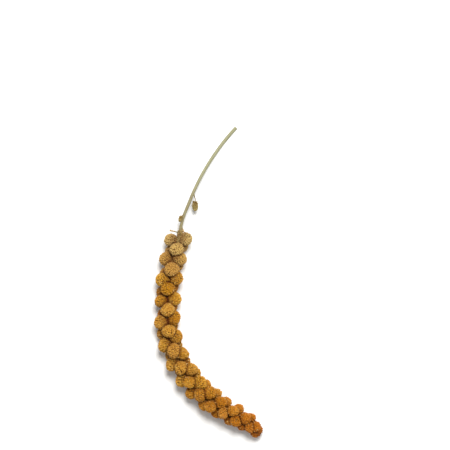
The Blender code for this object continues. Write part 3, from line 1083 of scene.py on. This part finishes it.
# Glumes: small papery scales that stand beside the grain, cupped round it and leaning out.
# A few empty ones are left on the two bare branches by the head.
glumeLook = {
    "share": 0.30,  # of the grain in the open, fewer towards the crevices
    "length": 0.0019,
    "width": 0.0011,
    "thickness": 0.00016,
    "cup": 0.5,
    "profile": [(0.35, 0.10), (0.5, 0.45), (0.3, 0.80)],  # half width and height
    "columns": 6,
    "sizes": (0.8, 1.2),
    "beside": 0.30,  # widths of its grain, from that one's middle
    "up": 0.0005,
    "lean": 0.16,
    "leans": (0.3, 1.4),  # shares of that lean
    "seed": 41,
    "onBranches": {"bareTwig": ("twig_glumes", 14), "topBranch": ("branch_glumes", 9)},
    "branchFrom": 0.40,  # share of the branch's length where they start
    "branchTo": 0.98,
    "branchSize": 0.85,
    "branchSizes": (0.7, 1.3),
    "branchOut": 0.6,  # of the branch's radius
    "branchLeans": (0.3, 0.9),
    "branchStep": 0.01,  # share further along that gives the branch's direction
}


# scales from their feet along their axes: in each, a point stands off forward by the cup times
# what the square of its place across lacks of that at the edges, a quarter
def scalePiece(name, foot, axis, forward, size, node):
    look = glumeLook
    form = turnedForm(look["profile"], look["columns"], 0.0, 1.0)
    points = form[0]
    cupped = points[:, 1] * look["thickness"] + look["cup"] * look["width"] * (0.25 - points[:, 0] ** 2)
    forward = unit(forward - axis * np.sum(forward * axis, axis=1, keepdims=True))
    across = np.cross(forward, axis)
    size = size[:, None, None]
    placed = (
        foot[:, None]
        + size * look["width"] * points[None, :, 0:1] * across[:, None]
        + size * cupped[None, :, None] * forward[:, None]
        + size * look["length"] * points[None, :, 2:3] * axis[:, None]
    )
    piece = repeatPiece(name, liftForms(placed), form, paper)
    settle(piece, node)


# beside a random choice of the grain, on a random side of it
def makeGlumes():
    look = glumeLook
    random = np.random.default_rng(look["seed"])
    chosen = random.uniform(0, 1, len(headGrain["owner"])) < look["share"] * (1 - headGrain["depth"])
    rows = {key: value[chosen] for key, value in headGrain.items()}
    number = len(rows["owner"])
    _, forward = squareTo(rows["axis"], random.uniform(0, 2 * math.pi, number))
    lean = look["lean"] * random.uniform(*look["leans"], (number, 1))
    axis = unit(rows["axis"] + forward * lean)
    foot = rows["foot"] + forward * rows["sizes"][:, :1] * look["beside"] + axis * look["up"]
    size = random.uniform(*look["sizes"], number)
    scalePiece("glumes", foot, axis, forward, size, "grain_head")


# evenly along each branch, each a golden turn round it from the last
def makeBranchGlumes():
    look = glumeLook
    random = np.random.default_rng(look["seed"] + 1)
    for branch, (name, number) in look["onBranches"].items():
        order = np.arange(number)
        share = look["branchFrom"] + (look["branchTo"] - look["branchFrom"]) * order / (number - 1)
        path = branchPath(branch, share)
        along = unit(branchPath(branch, share + look["branchStep"]) - path)
        _, forward = squareTo(along, order * goldenTurn)
        axis = unit(along + forward * random.uniform(*look["branchLeans"], (number, 1)))
        foot = path + forward * stemBranches["radiusEnd"] * look["branchOut"]
        size = look["branchSize"] * random.uniform(*look["branchSizes"], number)
        scalePiece(name, foot, axis, forward, size, "stem")


makeGlumes()
makeBranchGlumes()

# What bristles and down share: a hair is a thin tube of a few rings
hairForm = {
    "rings": [0.0, 0.35, 0.7, 1.0],  # their places along it
    "taper": [1.0, 0.8, 0.5, 0.15],  # their shares of its radius
    "columns": 3,
    "leastHeight": 0.00012,  # of its middle line above the surface
}


# thin curved hairs: from its foot each goes s along its direction and s squared / 2 along its bend
def hairPiece(name, foot, direction, bend, look, random, node):
    length = random.uniform(*look["length"], len(foot))[:, None, None]
    share = np.array(hairForm["rings"])[None, :, None]
    paths = foot[:, None] + length * (share * direction[:, None] + 0.5 * share**2 * bend[:, None])
    paths[..., 2] = np.maximum(paths[..., 2], hairForm["leastHeight"])
    radius = look["radius"] * np.array(hairForm["taper"])[None, :, None]
    radii = np.tile(radius, (len(foot), 1, hairForm["columns"]))
    piece = tubePiece(name, paths, radii, paper)
    settle(piece, node)


# Bristles: a few short stiff hairs stand up among the grain
bristleLook = {
    "number": 900,
    "length": (0.0016, 0.0034),
    "radius": 0.00005,
    "beside": 0.0007,  # its grain's foot
    "up": 0.0004,
    "withGrain": 0.35,  # how far its direction follows the grain's
    "sideways": 0.25,
    "bend": 0.4,
    "seed": 43,
}


# beside a random choice of the grain, pointing outwards and a little with the grain and sideways
def makeBristles():
    look = bristleLook
    random = np.random.default_rng(look["seed"])
    chosen = random.choice(len(headGrain["owner"]), look["number"], replace=False)
    normal = headGrain["normal"][chosen]
    across, _ = squareTo(normal, random.uniform(0, 2 * math.pi, len(chosen)))
    foot = headGrain["foot"][chosen] + across * look["beside"] + normal * look["up"]
    direction = unit(normal + look["withGrain"] * headGrain["axis"][chosen] + look["sideways"] * across)
    bend = look["bend"] * random.normal(0, 1, normal.shape)
    hairPiece("bristles", foot, direction, bend, look, random, "grain_head")


makeBristles()

# Down: fine short hairs on the stem, thickest next to the head
downLook = {
    "number": 520,
    "over": 0.030,
    "crowding": 1.8,  # above 1 it stands closer by the head
    "length": (0.0004, 0.0011),
    "radius": 0.00002,
    "rootShare": 0.95,  # of the stem's radius
    "lean": 0.6,
    "leans": (0.4, 0.6),  # towards the head, their mean and their spread
    "bend": 0.5,
    "seed": 47,
}


# at random distances and angles, pointing outwards and a random part of the way along the stem
def makeDown():
    look = downLook
    random = np.random.default_rng(look["seed"])
    back = random.uniform(0, 1, look["number"]) ** look["crowding"]
    distance = headLine["stemLength"] - look["over"] * back
    along, side, up = directionsAt(distance)
    angle = random.uniform(0, 2 * math.pi, look["number"])[:, None]
    out = side * np.cos(angle) + up * np.sin(angle)
    foot = pointsAt(distance) + out * headLine["stemRadiusHead"] * look["rootShare"]
    direction = unit(out + look["lean"] * along * random.normal(*look["leans"], (look["number"], 1)))
    bend = look["bend"] * random.normal(0, 1, out.shape)
    hairPiece("stem_down", foot, direction, bend, look, random, "stem")


makeDown()

# Camera: straight above, as far off as makes the view nearly flat, framed as the photograph is.
# One pixel of its 450 is 0.9 mm at the height of the head.
cameraLook = {
    "pixel": 0.0009,
    "imageSide": 450,
    "cutEndPixel": (236.2, 127.2),
    "distance": 2.4,
    "aimHeight": 0.012,
    "sensor": 36.0,
    "farthest": 20.0,
}


# it stands over the picture's middle, found from the cut end's pixel, and its lens spans the image
def makeCamera():
    look = cameraLook
    half = look["imageSide"] / 2
    x = headLine["cutEnd"][0] + (half - look["cutEndPixel"][0]) * look["pixel"]
    y = headLine["cutEnd"][1] - (half - look["cutEndPixel"][1]) * look["pixel"]
    camera = bpy.data.cameras.new("camera")
    camera.sensor_width = look["sensor"]
    camera.lens = look["sensor"] * look["distance"] / (look["imageSide"] * look["pixel"])
    camera.clip_end = look["farthest"]
    holder = bpy.data.objects.new("camera", camera)
    holder.location = (x, y, look["aimHeight"] + look["distance"])
    bpy.context.scene.collection.objects.link(holder)
    bpy.context.scene.camera = holder


makeCamera()

# Matt white paper. It gives the eye a plain pale ground with soft shadows.
floorLook = {"colour": "#F4F4F2", "roughness": 0.9, "half": 4.0}


# one square face, level with the lowest grain
def makeFloor():
    look = floorLook
    material, tree = newMaterial("pale_floor")
    finishMaterial(tree, {"Base Color": look["colour"], "Roughness": look["roughness"]})
    corners = np.array([[-1, -1, 0], [1, -1, 0], [1, 1, 0], [-1, 1, 0]]) * look["half"]
    floor = meshPiece("floor", corners, [np.array([[0, 1, 2, 3]])], material, smooth=False)


makeFloor()

# Soft studio light: a large key from beyond the top of the picture, a touch to its right, and a weak fill
lightLook = {
    "key": {"place": (0.16, 0.88, 1.68), "size": 0.9, "power": 46.5},
    "fill": {"place": (1.1, -0.4, 1.2), "size": 1.2, "power": 2.0},
    "sky": 0.42,
}


# a round lamp aimed at the middle of the floor
def makeLight(name, look):
    lamp = bpy.data.lights.new(name, "AREA")
    lamp.shape = "DISK"
    lamp.size = look["size"]
    lamp.energy = look["power"]
    holder = bpy.data.objects.new(name, lamp)
    x, y, z = look["place"]
    holder.location = (x, y, z)
    # a lamp shines down its own -z: tilt it by how level the way to the middle is, then turn it
    holder.rotation_euler = (math.atan2(math.hypot(x, y), z), 0, math.atan2(-y, -x) - math.pi / 2)
    bpy.context.scene.collection.objects.link(holder)


makeLight("key", lightLook["key"])
makeLight("fill", lightLook["fill"])
world = bpy.data.worlds.new("studio")
world.use_nodes = True
background = world.node_tree.nodes["Background"]
background.inputs["Color"].default_value = linear("#FFFFFF")
background.inputs["Strength"].default_value = lightLook["sky"]
bpy.context.scene.world = world
bpy.context.scene.view_settings.view_transform = "Standard"
print("studio ready")
